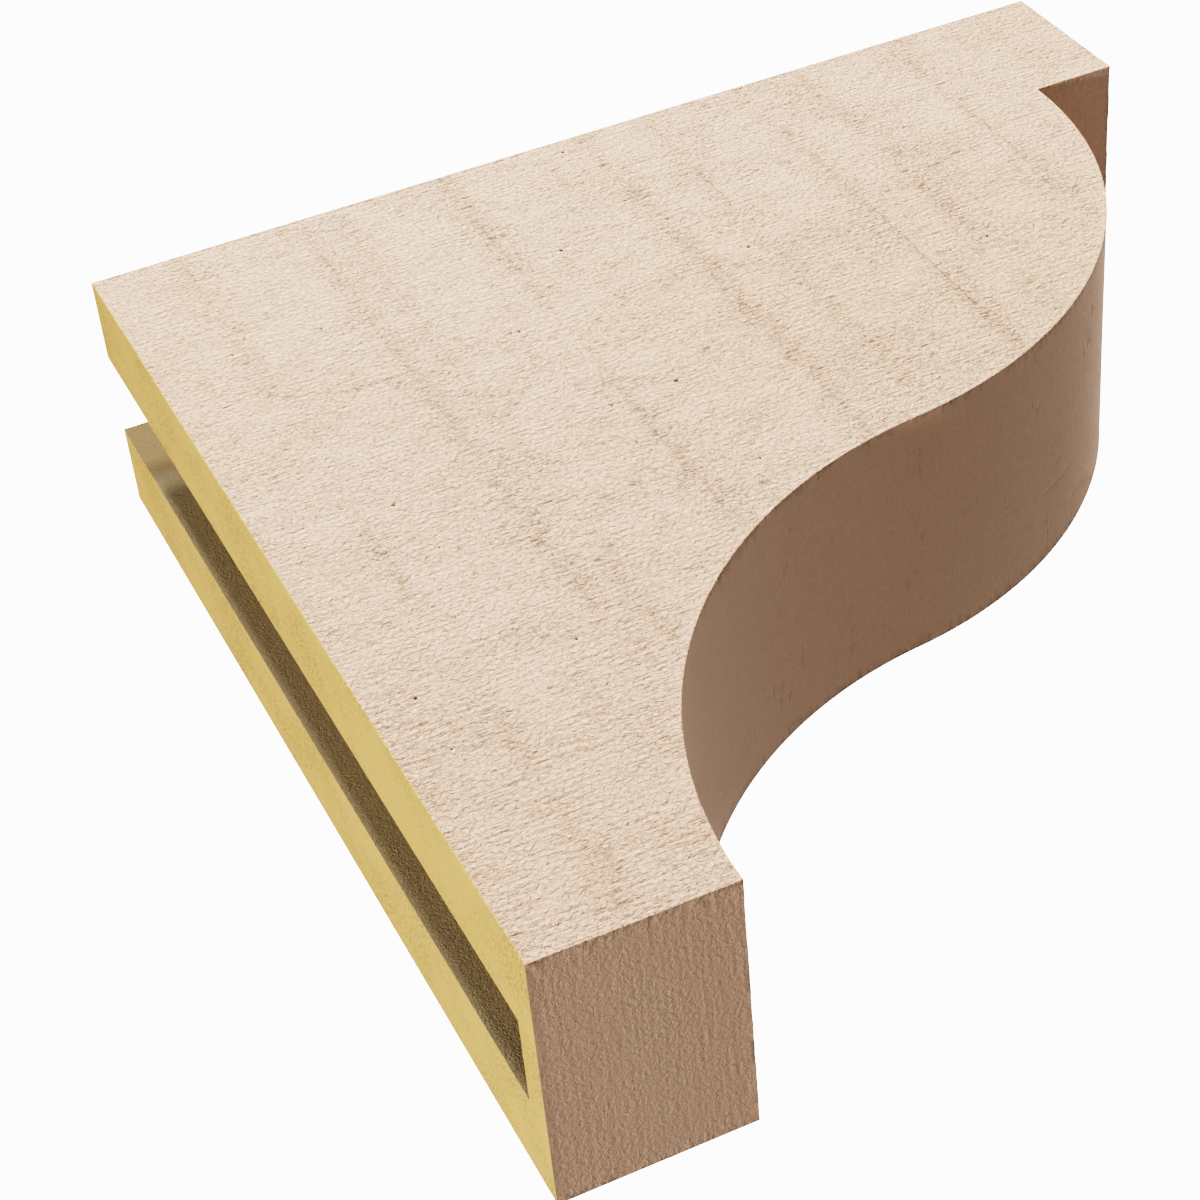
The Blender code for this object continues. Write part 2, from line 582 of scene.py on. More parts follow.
def mark_side(panel, slide):
    """Blow holes, cracks and tears, of which the blow holes and cracks are slid so many inches."""
    rng = panel.rng
    for out, down, size in BLOW_HOLES:
        centre = ((out + slide) * INCH, HEIGHT - (down + slide / 2) * INCH)
        panel.mark(*pit(centre, size / 2 * MM, BLOW_HOLE_DEPTH))
    for out, down, heading, length in LONG_CRACKS:
        start = (out * INCH, HEIGHT - (down + slide / 3) * INCH)
        crack(panel, start, math.radians(heading), length * INCH, LONG_CRACK_DEPTH)
    for line, strength in TORN_LINES:
        height = rng.uniform(*FIRST_TEAR) * MM
        clump = rng.random()
        while height < HEIGHT:
            clump = min(1.0, max(0.0, clump + rng.gauss(0.0, CLUMP_CHANGE)))
            if clump * strength > rng.uniform(*CLUMP_ODDS):
                centre = (line_at(line, height) + rng.gauss(0.0, TEAR_STRAY) * MM, height)
                tear(panel, centre, *LINE_TEARS)
            height += rng.uniform(*TEAR_SPACING) * MM
    for out, down, reach in TORN_PATCHES:
        for _ in range(round(PATCH_COUNT * reach)):
            away = Vector([rng.gauss(0.0, spread) for spread in PATCH_SPREAD]) * reach * INCH
            centre = Vector((out * INCH, HEIGHT - down * INCH)) + away
            tear(panel, centre, *PATCH_TEARS)
    whole_side = ((0, PROJECTION), (0, HEIGHT))
    scatter(panel, tear, whole_side, *SIDE_TEARS)
    scatter(panel, small_hole, whole_side, *SIDE_HOLES)


def side_panels():
    """The two flat sides, sawn along the depth."""
    outline = inset(ARRIS)[:-1]
    rows = [SIDE_ROW * k for k in range(1, math.floor(HEIGHT / SIDE_ROW))]
    for number, face_x in enumerate((-WIDTH / 2, WIDTH / 2)):
        panel = Panel(outline, SEED + number)
        mark_side(panel, slide=FAR_SIDE_SLIDE * number)

        def on_side(depth, height, face_x=face_x):
            return placed(face_x, depth, height)

        laid = panel.cover(rows, SIDE_COLUMN)
        skin.panel(*laid, on_side, SIDE_LAY * number, "primed", sawn=1.0, torn=side_torn)


def arrises():
    """The eased edges between the sides and the narrow faces, in two narrow steps."""
    halfway = ARRIS * (1 - math.sqrt(0.5))
    rings = (stations, inset(halfway), inset(ARRIS))
    offsets = (flat_half, WIDTH / 2 - halfway, WIDTH / 2)
    for facing in (-1, 1):
        for inner in (0, 1):
            for k in range(len(stations) - 1):
                corners = ((inner, k), (inner, k + 1), (inner + 1, k + 1), (inner + 1, k))
                points = [(facing * offsets[loop], travel[n], 0.0) for loop, n in corners]
                spots = [placed(facing * offsets[loop], *rings[loop][n]) for loop, n in corners]
                there = dict(zip([point[:2] for point in points], spots))

                def place(across, length, there=there):
                    return there[(across, length)]

                finish = "bare" if k >= first["back_by_channel"] else "primed"
                skin.panel(points, [(0, 1, 2, 3)], place, PROFILE_LAY, finish, sawn=1.0)


# Where tears cluster along the ogee, as (share of its length, how many), how far they spread from there
# in millimetres, and how long and how deep they are
OGEE_CLUSTERS = ((0.37, 16), (0.43, 7), (0.5, 8), (0.63, 12), (0.72, 12), (0.85, 8))
OGEE_CLUSTER_SPREAD = 7
OGEE_TEARS = ((4, 11), (0.2, 0.4))
# How many hair cracks the ogee has, where they start by shares of the width and of the ogee's length, their
# headings in degrees, and their lengths in millimetres
OGEE_CRACKS = 14
OGEE_CRACK_PLACES = ((0.0, 0.4), (0.6, 0.78))
OGEE_CRACK_HEADINGS = (86, 97)
OGEE_CRACK_LENGTHS = (14, 40)
OGEE_CRACK_DEPTH = 0.3 * MM
# How far from the middle of the width the marks lie, by its share: on the ogee and the top, from the lip
# to the nose, and on the back
TEAR_REACH = 0.46
LIP_TEAR_REACH = 0.47
BACK_HOLE_REACH = 0.48
# How strongly the saw marked each stretch of the front
SAWN_FOOT = 0.22
SAWN_OGEE = 0.2
SAWN_LIP = 0.35
SAWN_NOSE = 0.85


def front_panel():
    """The foot's underside, the ogee, the lip and the nose, sawn across the width."""
    lengths = between("foot", "top")
    panel = Panel(rectangle(across_all, lengths), SEED + 10)
    rng = panel.rng
    ogee_start, ogee_end = travel[first["ogee"]], travel[first["nook"]]
    ogee_length = ogee_end - ogee_start
    for share, count in OGEE_CLUSTERS:
        for _ in range(count):
            length = ogee_start + ogee_length * share + rng.gauss(0, OGEE_CLUSTER_SPREAD) * MM
            centre = (rng.uniform(-TEAR_REACH, TEAR_REACH) * WIDTH, length)
            tear(panel, centre, *OGEE_TEARS)
    for _ in range(OGEE_CRACKS):
        across_share, along_share = (rng.uniform(*shares) for shares in OGEE_CRACK_PLACES)
        crack_start = (across_share * WIDTH, ogee_start + ogee_length * along_share)
        heading = math.radians(rng.uniform(*OGEE_CRACK_HEADINGS))
        crack(panel, crack_start, heading, rng.uniform(*OGEE_CRACK_LENGTHS) * MM, OGEE_CRACK_DEPTH)
    scatter(panel, tear, (inner_width(LIP_TEAR_REACH), (ogee_end, lengths[-1])), *LIP_TEARS)

    def how_sawn(across, length):
        if length < ogee_start:
            return SAWN_FOOT
        if length < ogee_end:
            return SAWN_OGEE
        return SAWN_LIP if length < travel[first["lip_corner"]] else SAWN_NOSE

    laid = panel.cover(lengths[1:-1], STRIP_COLUMN)
    skin.panel(*laid, on_profile, PROFILE_LAY, "primed", sawn=how_sawn)


def top_panel():
    """The top, which goes round the channel's open end."""
    lengths, beside = between("top", "back_by_channel"), between("top_by_channel", "back_by_channel")
    start, notch, end = lengths[0], beside[0], lengths[-1]
    outline = ring(
        level(across_all, start),
        upright(flat_half, lengths),
        level(across_far_wall[::-1], end),
        upright(CHANNEL_HALF_WIDTH, beside[::-1]),
        level(across_channel[::-1], notch),
        upright(-CHANNEL_HALF_WIDTH, beside),
        level(across_wall[::-1], end),
        upright(-flat_half, lengths[::-1]),
    )
    panel = Panel(outline, SEED + 20)
    scatter(panel, tear, (inner_width(TEAR_REACH), (start, end)), *TOP_TEARS)
    laid = panel.cover(lengths[1:-1], STRIP_COLUMN)
    skin.panel(*laid, on_profile, PROFILE_LAY, "primed", sawn=1.0)


def back_panel():
    """The bare back: two strips beside the channel, joined by a low one below it."""
    lengths, beside = between("back_by_channel", "end"), between("back_by_channel", "back_below")
    start, notch, end = lengths[0], beside[-1], lengths[-1]
    outline = ring(
        level(across_wall, start),
        upright(-CHANNEL_HALF_WIDTH, beside),
        level(across_channel, notch),
        upright(CHANNEL_HALF_WIDTH, beside[::-1]),
        level(across_far_wall, start),
        upright(flat_half, lengths),
        level(across_all[::-1], end),
        upright(-flat_half, lengths[::-1]),
    )
    panel = Panel(outline, SEED + 30)
    scatter(panel, small_hole, (inner_width(BACK_HOLE_REACH), (start, end)), *BACK_HOLES)
    skin.panel(*panel.cover(lengths[1:-1], STRIP_COLUMN), on_profile, PROFILE_LAY, "bare")


def channel_panels():
    """The channel's two walls, its floor and its closed lower end, all bare foam, with a finish that paints
    shade over them.
    """
    heights = [stations[k].y for k in range(first["back_by_channel"], first["back_below"] + 1)]
    depths = [stations[k].x for k in range(first["top_by_channel"], first["back_by_channel"] + 1)]
    # the walls show little, so they have half the rows, and wider columns
    wall_rows = heights[1:-1:2]
    wall_column = STRIP_COLUMN * 1.4
    for number, side in enumerate((-1, 1)):

        def on_wall(depth, height, side=side):
            return placed(side * CHANNEL_HALF_WIDTH, depth, height)

        wall = Panel(rectangle(depths, heights), SEED + 40 + number)
        skin.panel(*wall.cover(wall_rows, wall_column), on_wall, CHANNEL_WALL_LAY + number, "waxed")

    def on_floor(across, height):
        return placed(across, CHANNEL_DEPTH, height)

    def on_sill(across, depth):
        return placed(across, depth, BOTTOM_WALL)

    floor = Panel(rectangle(across_channel, heights), SEED + 50)
    skin.panel(*floor.cover(heights[1:-1], STRIP_COLUMN), on_floor, CHANNEL_FLOOR_LAY, "waxed")
    sill = Panel(rectangle(across_channel, depths), SEED + 60)
    skin.panel(*sill.cover(depths[1:-1], STRIP_COLUMN), on_sill, CHANNEL_SILL_LAY, "waxed")


# What the mould gave the skin, as the inputs of the relief's tree
RELIEF = {
    "Kerf pitch": KERF_PITCH,
    "Kerf depth": 0.1 * MM,
    "Swell size": 70 * MM,
    "Swell depth": 0.35 * MM,
    "Streak length": 42 * MM,
    "Streak height": 7 * MM,
    "Streak depth": 0.22 * MM,
    "Tear length": 15 * MM,
    "Tear height": 4.2 * MM,
    "Tear depth": 0.45 * MM,
    "Arris margin": 3.5 * MM,
    "Seed": float(SEED),
}
FINISHES = ("Primed skin", "Bare foam")

# How far a kerf keeps its line, along the saw lines and across them, and by how many pitches it strays.
# How far it keeps its depth, and the span of the noise over which it comes to show.
KERF_SWAY = (160 * MM, 30 * MM)
KERF_STRAY = 0.5
KERF_FADE = (110 * MM, 50 * MM)
KERF_SHOWS = (0.25, 0.67)
# A mark this deep counts as wholly hollow
FULL_HOLLOW = 0.9 * MM
# An edge that bends by more than the first is an arris, and one by more than the second is shaded sharp
ARRIS_ANGLE = math.radians(25)
CREASE_ANGLE = math.radians(15)


def relief_tree():
    """Sinks the flat skin by its saw lines, streaks and marks, all of it inwards and none at an arris."""
    tree = bpy.data.node_groups.new("sawn_relief", "GeometryNodeTree")
    face = tree.interface
    face.new_socket("Geometry", in_out="INPUT", socket_type="NodeSocketGeometry")
    for name in RELIEF:
        face.new_socket(name, in_out="INPUT", socket_type="NodeSocketFloat")
    for name in FINISHES:
        face.new_socket(name, in_out="INPUT", socket_type="NodeSocketMaterial")
    face.new_socket("Geometry", in_out="OUTPUT", socket_type="NodeSocketGeometry")
    given = add(tree, "NodeGroupInput").outputs
    lay = add(tree, "GeometryNodeInputNamedAttribute", {"Name": "lay"}, data_type="FLOAT_VECTOR")
    bare = add(tree, "GeometryNodeInputNamedAttribute", {"Name": "bare"}, data_type="BOOLEAN")
    sink, sawn, torn = (
        add(tree, "GeometryNodeInputNamedAttribute", {"Name": name}, data_type="FLOAT")
        for name in ("sink", "sawn", "torn")
    )

    # noises, each stretched to one size along the saw lines and another across them
    patterns = {}
    for name, along, across, detail in (
        ("sway", *KERF_SWAY, 1.0),
        ("fade", *KERF_FADE, 1.0),
        ("streaks", given["Streak length"], given["Streak height"], 2.0),
        ("tears", given["Tear length"], given["Tear height"], 2.0),
        ("swell", given["Swell size"], given["Swell size"], 1.0),
    ):
        size = add(tree, "ShaderNodeCombineXYZ", (along, across, 1.0))
        spread = add(tree, "ShaderNodeVectorMath", (lay, size), operation="DIVIDE")
        patterns[name] = add(
            tree,
            "ShaderNodeTexNoise",
            {"Vector": spread, "W": given["Seed"], "Scale": 1.0, "Detail": detail},
            noise_dimensions="4D",
        )

    # saw lines, one to each kerf pitch, that sway a little and fade in and out
    height = add(tree, "ShaderNodeSeparateXYZ", (lay,)).outputs["Y"]
    turns = add(tree, "ShaderNodeMath", (height, given["Kerf pitch"]), operation="DIVIDE")
    swayed = add(tree, "ShaderNodeMath", (patterns["sway"], KERF_STRAY, turns), operation="MULTIPLY_ADD")
    angle = add(tree, "ShaderNodeMath", (swayed, math.tau), operation="MULTIPLY")
    wave = add(tree, "ShaderNodeMath", (angle,), operation="SINE")
    faded = {"Value": patterns["fade"], "From Min": KERF_SHOWS[0], "From Max": KERF_SHOWS[1]}
    showing = add(tree, "ShaderNodeMapRange", faded).outputs[0]
    kerf = add(tree, "ShaderNodeMapRange", {"Value": wave, "From Min": -1.0, "To Max": showing})

    # each mark's depth, by how sawn or how torn the skin is there
    depth = sink
    for pattern, full_depth, share in (
        (kerf, given["Kerf depth"], sawn),
        (patterns["streaks"], given["Streak depth"], sawn),
        (patterns["tears"], given["Tear depth"], torn),
        (patterns["swell"], given["Swell depth"], 1.0),
    ):
        deep = add(tree, "ShaderNodeMath", (pattern, full_depth), operation="MULTIPLY")
        depth = add(tree, "ShaderNodeMath", (deep, share, depth), operation="MULTIPLY_ADD")

    # nothing is sunk at a true edge, so that the arrises stay straight
    bend = add(tree, "GeometryNodeInputMeshEdgeAngle").outputs["Unsigned Angle"]
    is_arris = add(tree, "ShaderNodeMath", (bend, ARRIS_ANGLE), operation="GREATER_THAN")
    arrises_alone = add(
        tree,
        "GeometryNodeSeparateGeometry",
        {"Geometry": given["Geometry"], "Selection": is_arris},
        domain="EDGE",
    )
    away = add(tree, "GeometryNodeProximity", (arrises_alone,), target_element="EDGES").outputs["Distance"]
    clear = add(
        tree,
        "ShaderNodeMapRange",
        {"Value": away, "From Max": given["Arris margin"]},
        interpolation_type="SMOOTHSTEP",
    )
    marked = add(tree, "ShaderNodeMath", (depth, clear), operation="MULTIPLY")
    outward = add(tree, "ShaderNodeMath", (marked, -1.0), operation="MULTIPLY")
    inward = add(tree, "ShaderNodeMath", (outward, 0.0), operation="MINIMUM")
    normal = add(tree, "GeometryNodeInputNormal")
    offset = add(tree, "ShaderNodeVectorMath", {0: normal, "Scale": inward}, operation="SCALE")

    is_crease = add(tree, "ShaderNodeMath", (bend, CREASE_ANGLE), operation="GREATER_THAN")
    shape = add(
        tree,
        "GeometryNodeSetShadeSmooth",
        {"Geometry": given["Geometry"], "Selection": is_crease, "Shade Smooth": False},
        domain="EDGE",
    )
    hollow = add(tree, "ShaderNodeMath", (sink, FULL_HOLLOW), operation="DIVIDE", use_clamp=True)
    shape = add(
        tree,
        "GeometryNodeStoreNamedAttribute",
        {"Geometry": shape, "Name": "hollow", "Value": hollow},
        data_type="FLOAT",
        domain="POINT",
    )
    shape = add(tree, "GeometryNodeSetPosition", {"Geometry": shape, "Offset": offset})
    shape = add(tree, "GeometryNodeRealizeInstances", (shape,))
    for name, faces in zip(FINISHES, (True, bare)):
        material = given[name]
        shape = add(
            tree, "GeometryNodeSetMaterial", {"Geometry": shape, "Selection": faces, "Material": material}
        )
    add(tree, "NodeGroupOutput", {"Geometry": shape})
    return tree


def corbel_skin(primer, foam):
    """The whole moulding as one closed mesh, relief and all."""
    side_panels()
    arrises()
    front_panel()
    top_panel()
    back_panel()
    channel_panels()
    flat = bpy.data.objects.new("flat_skin", skin.mesh("flat_skin"))
    flat.data.shade_smooth()
    bpy.context.scene.collection.objects.link(flat)

    relief = flat.modifiers.new("relief", "NODES")
    relief.node_group = relief_tree()
    values = {**RELIEF, **dict(zip(FINISHES, (primer, foam)))}
    for item in relief.node_group.interface.items_tree:
        if item.in_out == "INPUT" and item.name in values:
            relief[item.identifier] = values[item.name]

    bpy.context.view_layer.update()
    made = bpy.data.meshes.new_from_object(flat.evaluated_get(bpy.context.evaluated_depsgraph_get()))
    made.name = "ogee_corbel"
    for spent in ("sink", "bare"):
        made.attributes.remove(made.attributes[spent])
    bpy.data.objects.remove(flat, do_unlink=True)
    corbel = bpy.data.objects.new("ogee_corbel", made)
    bpy.context.scene.collection.objects.link(corbel)
    print("corbel:", sum(len(p.vertices) - 2 for p in made.polygons), "triangles")
    return corbel


# The finishes' patterns, as (millimetres along the saw lines, millimetres across them, detail, twist)
PRIMER_PATTERNS = {
    "lumps": (2.6, 2.7, 4.0, 0.4),
    "flecks": (2.2, 2.6, 2.0, 0.2),
    "crumbs": (6.5, 1.4, 2.0, 0.3),
    "stains": (6.0, 3.2, 1.0, 0.6),
    "rows": (30.0, 3.0, 1.5, 0.0),
    "scratches": (9.0, 1.2, 2.0, 0.2),
    "patches": (44.0, 26.0, 3.0, 0.5),
    "sways": (14.0, 9.0, 2.5, 0.0),
    "drift": (260.0, 200.0, 1.0, 0.0),
}
FOAM_PATTERNS = {
    "cells": (1.4, 1.4, 1.0, 0.0),
    "speckles": (1.7, 2.1, 2.5, 0.5),
    "bands": (46.0, 70.0, 2.0, 0.0),
}

# The marks cut out of them, as (pattern, where its noise begins to show as one, where it is one in full)
PRIMER_MARKS = {
    "fleck": ("flecks", 0.48, 0.62),
    "dip_shade": ("lumps", 0.42, 0.25),
    "crumb": ("crumbs", 0.52, 0.6),
    "stain": ("stains", 0.66, 0.76),
    "scratch": ("scratches", 0.6, 0.67),
    "rough_patch": ("patches", 0.35, 0.65),
}
FOAM_MARKS = {
    "open_cell": ("speckles", 0.46, 0.62),
    "olive_band": ("bands", 0.4, 0.68),
}
NOISE_ROUGHNESS = 0.6


def new_finish(name, sizes, spans):
    """A material with its patterns, laid out flat in millimetres over the skin, and its marks."""
    material = bpy.data.materials.new(name)
    material.use_nodes = True
    tree = material.node_tree
    tree.nodes.clear()
    uv = add(tree, "ShaderNodeUVMap", uv_map="lay")
    lay = add(tree, "ShaderNodeVectorMath", {0: uv, "Scale": 1 / MM}, operation="SCALE")
    patterns = {}
    for pattern, (along, across, detail, twist) in sizes.items():
        spread = add(tree, "ShaderNodeVectorMath", (lay, (along, across, 1.0)), operation="DIVIDE")
        look = {"Scale": 1.0, "Detail": detail, "Roughness": NOISE_ROUGHNESS, "Distortion": twist}
        patterns[pattern] = add(
            tree, "ShaderNodeTexNoise", {"Vector": spread, **look}, noise_dimensions="2D"
        )
    marks = {}
    for mark, (pattern, faint, full) in spans.items():
        span = {"Value": patterns[pattern], "From Min": faint, "From Max": full}
        marks[mark] = add(tree, "ShaderNodeMapRange", span)
    return material, lay, patterns, marks


def coloured(tree, ground, *coats):
    """A ground colour under coats, each given as (how much of it shows, its colour)."""
    colour = linear(ground)
    for share, code in coats:
        mixed = add(tree, "ShaderNodeMix", {0: share, 6: colour, 7: linear(code)}, data_type="RGBA")
        colour = mixed.outputs[2]
    return colour


def surfaced(tree, colour, relief_mm, roughness, specular):
    """The finish's shader, with a relief given in millimetres."""
    bump = add(tree, "ShaderNodeBump", {"Strength": 1.0, "Distance": MM, "Height": relief_mm})
    look = {"Base Color": colour, "Roughness": roughness, "IOR": 1.5, "Specular IOR Level": specular}
    shader = add(tree, "ShaderNodeBsdfPrincipled", {**look, "Normal": bump})
    add(tree, "ShaderNodeOutputMaterial", {"Surface": shader})


# The primer's relief in millimetres: its lumps from bottom to top, its saw lines to either side of their
# level, and how deep it is torn and scratched
LUMP_MM = 3.1
KERF_MM = 0.05
DUG_MM = 0.8
# How rough it is in a smooth patch, what a rough patch adds, and what a torn line adds
SMOOTH_PATCH = 0.8
ROUGH_PATCH = 0.28
TORN_ROUGHNESS = 0.45
# Where it is roughest, scratches and stains show: from where to where, and how much
WORST_SPAN = (0.6, 1.3)
WORST_SHARE = 0.9
# How wide a torn line is drawn to either side, how far it sways, and how strongly it shows
LINE_HALF_WIDTH = 3.4 * MM
LINE_SWAY = 11 * MM
LINE_SHARE = 0.8
# A line is drawn in full once the grain is torn by the inverse of this
TORN_GAIN = 2.5
FLECK_SHARE = 0.45
# Painted shade in the hollows: where a hollow begins to look dark, and where it is darkest, and how dark
# that is
HOLLOW_SPAN = (0.2, 0.9)
HOLLOW_SHARE = 0.8


def primed_polyurethane():
    """Flat tan primer over rigid polyurethane, moulded from rough-sawn timber.

    It gives the eye a chalky, pinkish tan, with painted shade in its dips and hollows, crumbly lumps, and
    short dark dashes that run with the saw lines. It has only a faint sheen where it's seen edge-on.
    """
    material, lay, patterns, marks = new_finish("tan_primed_polyurethane", PRIMER_PATTERNS, PRIMER_MARKS)
    tree = material.node_tree
    sawn, torn, hollow = (
        add(tree, "ShaderNodeAttribute", attribute_name=name).outputs["Fac"]
        for name in ("sawn", "torn", "hollow")
    )

    # how rough the skin is: the timber was smoother in patches, and crumbly where the saw tore it
    patch = add(
        tree, "ShaderNodeMath", (marks["rough_patch"], ROUGH_PATCH, SMOOTH_PATCH), operation="MULTIPLY_ADD"
    )
    lifted = add(tree, "ShaderNodeMath", (torn, TORN_ROUGHNESS, patch), operation="MULTIPLY_ADD")
    rough = add(tree, "ShaderNodeMath", (lifted, sawn), operation="MULTIPLY")

    # the torn lines run up the sides, and sway as they go
    here = add(tree, "ShaderNodeTexCoord").outputs["Object"]
    depth_here = add(tree, "ShaderNodeSeparateXYZ", (here,)).outputs["Y"]
    reach = {"Value": depth_here, "From Min": BACK_Y, "From Max": low.y}
    out_from_wall = add(tree, "ShaderNodeMapRange", reach)
    sway = add(tree, "ShaderNodeMath", (patterns["sways"], 0.5), operation="SUBTRACT")
    sway_share = LINE_SWAY / PROJECTION
    swayed = add(tree, "ShaderNodeMath", (sway, sway_share, out_from_wall), operation="MULTIPLY_ADD")
    lines = add(tree, "ShaderNodeValToRGB", (swayed,))
    stops = lines.color_ramp.elements
    for line, strength in TORN_LINES:
        peak = strength * LINE_SHARE
        for away, shade in ((-LINE_HALF_WIDTH, 0.0), (0.0, peak), (LINE_HALF_WIDTH, 0.0)):
            stops.new((line * INCH + away) / PROJECTION).color = (shade, shade, shade, 1.0)
    stops.remove(stops[0])
    stops[-1].color = (0.0, 0.0, 0.0, 1.0)
    broken = add(tree, "ShaderNodeMath", (torn, TORN_GAIN), operation="MULTIPLY", use_clamp=True)
    on_line = add(tree, "ShaderNodeMath", (lines, broken), operation="MULTIPLY")
    crumbled = add(tree, "ShaderNodeMath", (on_line, marks["crumb"]), operation="MULTIPLY")

    # crumbly lumps, drawn at 2.6 mm because the true grit of 0.3 mm is too fine to show. They rise and
    # fall about a level, so that a rough patch stands no higher than a smooth one.
    lump = add(tree, "ShaderNodeMath", (patterns["lumps"], 0.5), operation="SUBTRACT")
    lumpy = add(tree, "ShaderNodeMath", (lump, LUMP_MM), operation="MULTIPLY")
    # and the saw lines, among rows of up to a millimetre's height
    height = add(tree, "ShaderNodeSeparateXYZ", (lay,)).outputs["Y"]
    turns = add(tree, "ShaderNodeMath", (height, math.tau * MM / KERF_PITCH), operation="MULTIPLY")
    wave = add(tree, "ShaderNodeMath", (turns,), operation="SINE")
    kerf = add(tree, "ShaderNodeMath", (wave, -KERF_MM, patterns["rows"]), operation="MULTIPLY_ADD")
    sawn_kerf = add(tree, "ShaderNodeMath", (kerf, sawn), operation="MULTIPLY")
    relief = add(tree, "ShaderNodeMath", (lumpy, rough, sawn_kerf), operation="MULTIPLY_ADD")

    # flecked yellower, with painted shade in its dips, and scratched and stained where it is roughest
    flecked = add(tree, "ShaderNodeMath", (marks["fleck"], rough), operation="MULTIPLY")
    fleck = add(tree, "ShaderNodeMath", (flecked, FLECK_SHARE), operation="MULTIPLY")
    # painted shade: the lumps' low places are coloured browner, as if shaded
    dip_shade = add(tree, "ShaderNodeMath", (marks["dip_shade"], rough), operation="MULTIPLY")
    roughest = {"Value": rough, "From Min": WORST_SPAN[0], "From Max": WORST_SPAN[1], "To Max": WORST_SHARE}
    worst = add(tree, "ShaderNodeMapRange", roughest)
    scratch = add(tree, "ShaderNodeMath", (marks["scratch"], worst), operation="MULTIPLY")
    stain = add(tree, "ShaderNodeMath", (marks["stain"], worst), operation="MULTIPLY")
    dug = add(tree, "ShaderNodeMath", (crumbled, scratch), operation="MAXIMUM")
    relief = add(tree, "ShaderNodeMath", (dug, -DUG_MM, relief), operation="MULTIPLY_ADD")
    # painted shade: pits, cracks and tears are coloured darker the deeper they are sunk
    pits = {"Value": hollow, "From Min": HOLLOW_SPAN[0], "From Max": HOLLOW_SPAN[1], "To Max": HOLLOW_SHARE}
    hollow_shade = add(tree, "ShaderNodeMapRange", pits)
    colour = coloured(
        tree,
        "#F9CBB0",
        (patterns["drift"], "#EFBE9F"),
        (fleck, "#E3BA98"),
        (dip_shade, "#C8A88B"),
        (scratch, "#8E7154"),
        (stain, "#7F7256"),
        (crumbled, "#9C7F62"),
        (hollow_shade, "#4C4F49"),
    )
    surfaced(tree, colour, relief, roughness=0.7, specular=0.25)
    return material


# The foam's relief in millimetres: its closed cells, and how deep the open ones are. True cells of about
# 0.3 mm are too fine to show, so they are drawn at 1.4 mm and more.
CELL_MM = 0.2
OPEN_CELL_MM = 0.15
# How much of the open cells shows between the bands, and what a band adds
BETWEEN_BANDS = 0.15
IN_BAND = 0.7
# Painted shade: the whole channel is coloured a duller brown, as the foam looks in shade. Darker painted
# shade lies at its open end, in full down to the first depth and fading out by the second.
MOUTH_SHADE_DEPTHS = (46 * MM, 72 * MM)
CHANNEL_SHADE_SHARE = 0.8
# How dark the painted shade in the foam's blow holes is
FOAM_HOLLOW_SHARE = 0.7


def bare_polyurethane():
    """Rigid polyurethane foam as it is left unprimed, on the open side of the mould.

    It gives the eye a dry, mustard yellow, mottled with olive where the cells lie open, with painted shade
    in its blow holes, and painted shade in the channel: a duller brown, darkest at the channel's open end.
    """
    material, lay, patterns, marks = new_finish("bare_yellow_polyurethane_foam", FOAM_PATTERNS, FOAM_MARKS)
    tree = material.node_tree
    hollow, waxed = (
        add(tree, "ShaderNodeAttribute", attribute_name=name).outputs["Fac"] for name in ("hollow", "waxed")
    )
    opened = add(tree, "ShaderNodeMath", (marks["open_cell"], -OPEN_CELL_MM), operation="MULTIPLY")
    relief = add(tree, "ShaderNodeMath", (patterns["cells"], CELL_MM, opened), operation="MULTIPLY_ADD")
    band = add(
        tree, "ShaderNodeMath", (marks["olive_band"], IN_BAND, BETWEEN_BANDS), operation="MULTIPLY_ADD"
    )
    open_cells = add(tree, "ShaderNodeMath", (marks["open_cell"], band), operation="MULTIPLY")
    # painted shade: the whole channel is coloured a duller, greyer brown, as foam in shade looks
    channel_shade = add(tree, "ShaderNodeMath", (waxed, CHANNEL_SHADE_SHARE), operation="MULTIPLY")
    here = add(tree, "ShaderNodeTexCoord").outputs["Object"]
    level_here = add(tree, "ShaderNodeSeparateXYZ", (here,)).outputs["Z"]
    # painted shade: darker still near the channel's open end, in full down to the first depth and gone by
    # the second
    full_shade_level, no_shade_level = (high.z - depth for depth in MOUTH_SHADE_DEPTHS)
    pool = {"Value": level_here, "From Min": no_shade_level, "From Max": full_shade_level}
    mouth_shade_reach = add(tree, "ShaderNodeMapRange", pool, interpolation_type="SMOOTHSTEP")
    mouth_shade = add(tree, "ShaderNodeMath", (mouth_shade_reach, waxed), operation="MULTIPLY")
    # painted shade: the blow holes are coloured darker the deeper they are sunk
    hollow_shade = add(tree, "ShaderNodeMath", (hollow, FOAM_HOLLOW_SHARE), operation="MULTIPLY")
    colour = coloured(
        tree,
        "#CDA262",
        (open_cells, "#8C7239"),
        (channel_shade, "#B9AB90"),
        (mouth_shade, "#735F40"),
        (hollow_shade, "#6B5427"),
    )
    surfaced(tree, colour, relief, roughness=0.85, specular=0.3)
    return material


# The studio

MIDDLE = Vector((0.0, -PROJECTION / 2, BOTTOM_Z + HEIGHT / 2))
# The camera, as the photo's straight edges give it: where it stands, a point that it looks at, its up
CAMERA_PLACE = Vector((-0.9301, 0.2604, -0.8059))
CAMERA_AIM = Vector((0.0314, -0.1773, 0.3180))
CAMERA_UP = Vector((-0.7778, -0.3208, 0.5405))
LENS_MM = 86.6
FILM_MM = 36.0
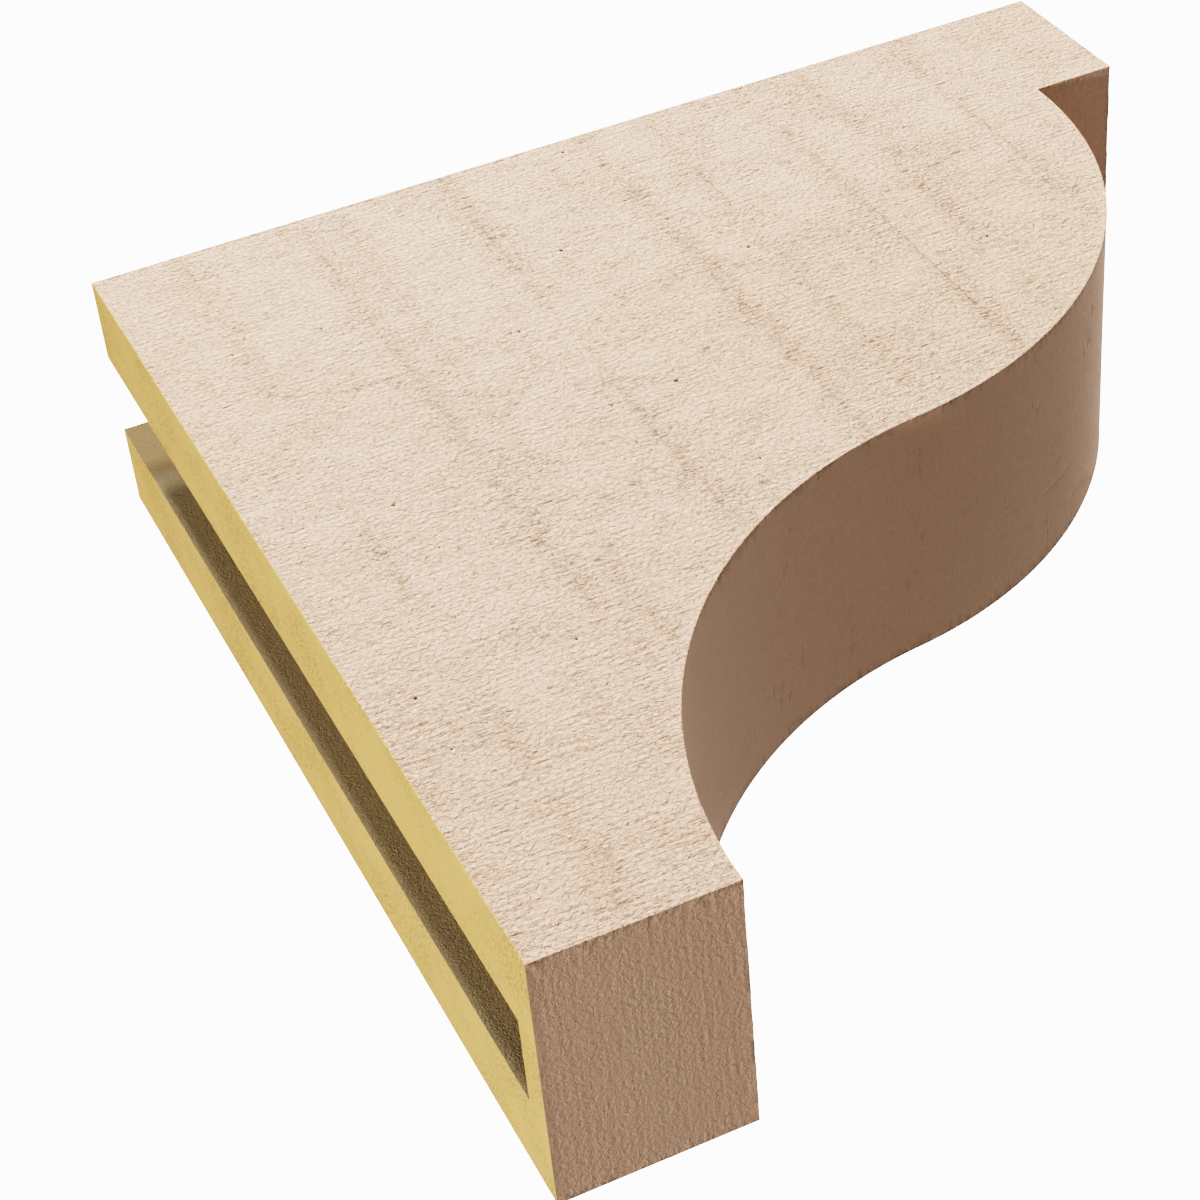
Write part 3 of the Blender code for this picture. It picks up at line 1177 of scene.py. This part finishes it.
# The world's light as colour and strength: around the moulding, mirrored in it, and behind it
AMBIENT_LIGHT = ("#EDF8FC", 0.21)
GLOSS_LIGHT = ("#F6F6F0", 1.3)
BACKDROP_LIGHT = ("#FFFFFF", 5.5)
# The softboxes, as (direction from the moulding's middle, metres away, metres square, watts)
SOFTBOXES = {
    "key": ((-0.66, -0.04, 0.75), 4.5, 1.5, 396.0),
    "rear": ((-0.1, 0.97, -0.23), 2.4, 0.35, 40.0),
    "front": ((0.1, -0.75, 0.66), 3.2, 1.2, 60.0),
    "far_side": ((0.9, 0.05, 0.4), 3.2, 1.2, 60.0),
}
FLOOR_DROP = 1.8
FLOOR_SIZE = 9.0


def studio_camera():
    """Looks up at the moulding from behind and below, on its left."""
    data = bpy.data.cameras.new("camera")
    data.lens = LENS_MM
    data.sensor_width = FILM_MM
    camera = bpy.data.objects.new("camera", data)
    ahead = (CAMERA_AIM - CAMERA_PLACE).normalized()
    right = ahead.cross(CAMERA_UP).normalized()
    turn = Matrix((right, right.cross(ahead), -ahead)).transposed()
    camera.matrix_world = Matrix.Translation(CAMERA_PLACE) @ turn.to_4x4()
    bpy.context.scene.collection.objects.link(camera)
    bpy.context.scene.camera = camera


def softbox(name, direction, distance, size, watts):
    """A square soft light that faces the moulding's middle."""
    data = bpy.data.lights.new(name, "AREA")
    data.size = size
    data.energy = watts
    lamp = bpy.data.objects.new(name, data)
    away = Vector(direction).normalized()
    lamp.location = MIDDLE + away * distance
    lamp.rotation_euler = away.to_track_quat("Z", "Y").to_euler()
    bpy.context.scene.collection.objects.link(lamp)


def studio_world():
    """A white backdrop to the camera, and a dim even light to everything else."""
    world = bpy.data.worlds.new("white_studio")
    world.use_nodes = True
    tree = world.node_tree
    tree.nodes.clear()
    path = add(tree, "ShaderNodeLightPath").outputs
    ambient, gloss, backdrop = (
        add(tree, "ShaderNodeBackground", {"Color": linear(code), "Strength": strength})
        for code, strength in (AMBIENT_LIGHT, GLOSS_LIGHT, BACKDROP_LIGHT)
    )
    around = add(tree, "ShaderNodeMixShader", (path["Is Glossy Ray"], ambient, gloss))
    studio = add(tree, "ShaderNodeMixShader", (path["Is Camera Ray"], around, backdrop))
    add(tree, "ShaderNodeOutputWorld", {"Surface": studio})
    bpy.context.scene.world = world


def studio_floor():
    """A plain pale floor, well below the moulding, which hangs as if fixed to a wall."""
    bpy.ops.mesh.primitive_plane_add(size=FLOOR_SIZE, location=(0.0, MIDDLE.y, BOTTOM_Z - FLOOR_DROP))
    floor = bpy.context.object
    floor.name = "floor"
    paint = bpy.data.materials.new("matt_white_floor_paint")
    paint.use_nodes = True
    shader = paint.node_tree.nodes["Principled BSDF"]
    shader.inputs["Base Color"].default_value = linear("#E9E6E1")
    shader.inputs["Roughness"].default_value = 0.8
    floor.data.materials.append(paint)
    # it throws no light back up, so the undersides stay as dark as in front of an open backdrop
    floor.visible_diffuse = False
    floor.visible_glossy = False
    floor.visible_shadow = False


studio_camera()
studio_world()
studio_floor()
for name, box in SOFTBOXES.items():
    softbox(name, *box)
bpy.context.scene.view_settings.view_transform = "Filmic"
bpy.context.scene.view_settings.look = "Very High Contrast"

corbel = corbel_skin(primed_polyurethane(), bare_polyurethane())
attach(corbel, "root")
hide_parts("corbel")
